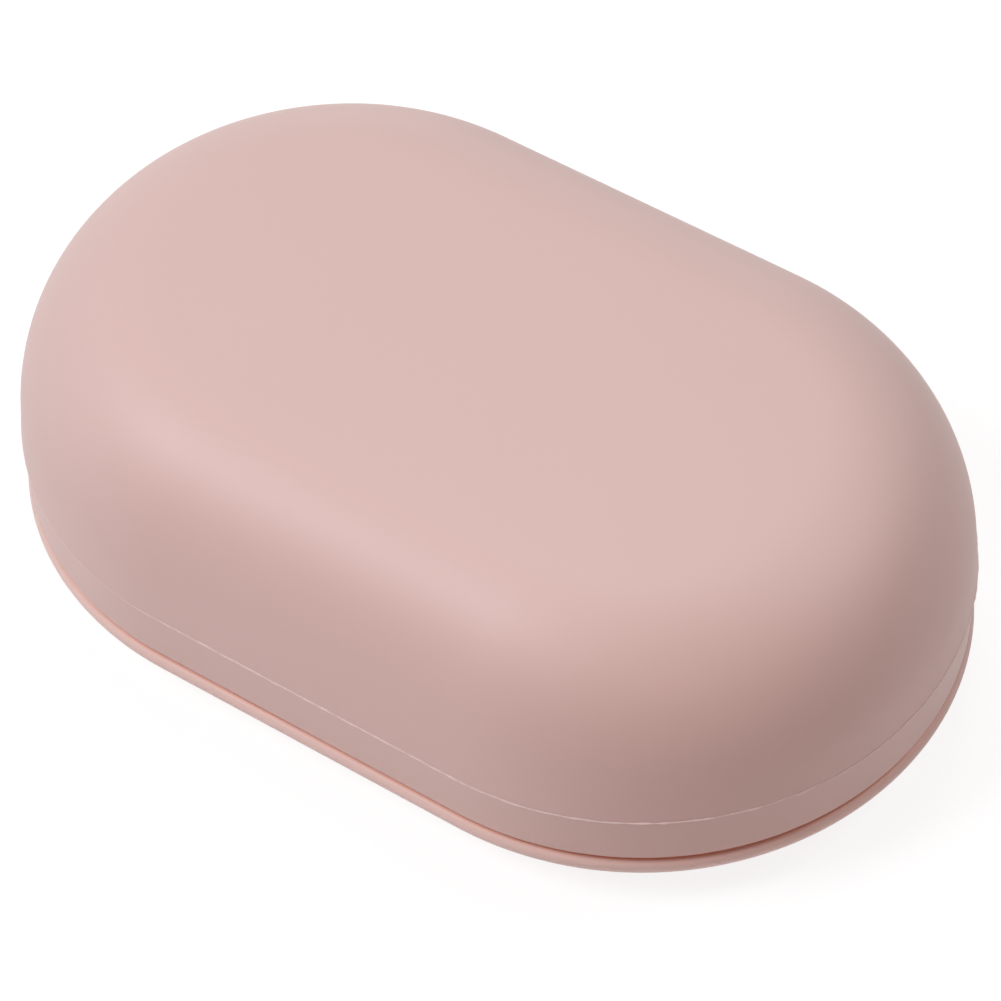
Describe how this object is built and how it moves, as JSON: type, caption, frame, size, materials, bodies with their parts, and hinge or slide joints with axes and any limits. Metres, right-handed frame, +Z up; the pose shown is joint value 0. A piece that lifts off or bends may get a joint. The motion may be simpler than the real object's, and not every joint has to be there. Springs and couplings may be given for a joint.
{
  "type": "travel soap box",
  "caption": "Travel soap box: a domed silicone lid pushes over the collar of a shallow silicone base, and a slotted rack inside keeps the bar above the water.",
  "frame": {"origin": "middle of the foot, on the surface that the box stands on", "axes": "+X along the box's length, +Z up, the way the lid lifts"},
  "size_m": [0.123, 0.08, 0.0391],
  "materials": {
    "lid_silicone": "matte moulded silicone",
    "base_silicone": "matte moulded silicone",
    "rack_plastic": "satin moulded plastic"
  },
  "bodies": {
    "base": {"base_tray": "base_silicone"},
    "lid": {"lid": "lid_silicone"},
    "rack": {"drain_rack": "rack_plastic"}
  },
  "joints": [
    {"name": "lid_lift", "type": "slide", "parent": "base", "child": "lid", "axis": [0, 0, 1], "range_m": [0, 0.06]},
    {"name": "rack_lift", "type": "slide", "parent": "base", "child": "rack", "axis": [0, 0, 1], "range_m": [0, 0.012]}
  ]
}
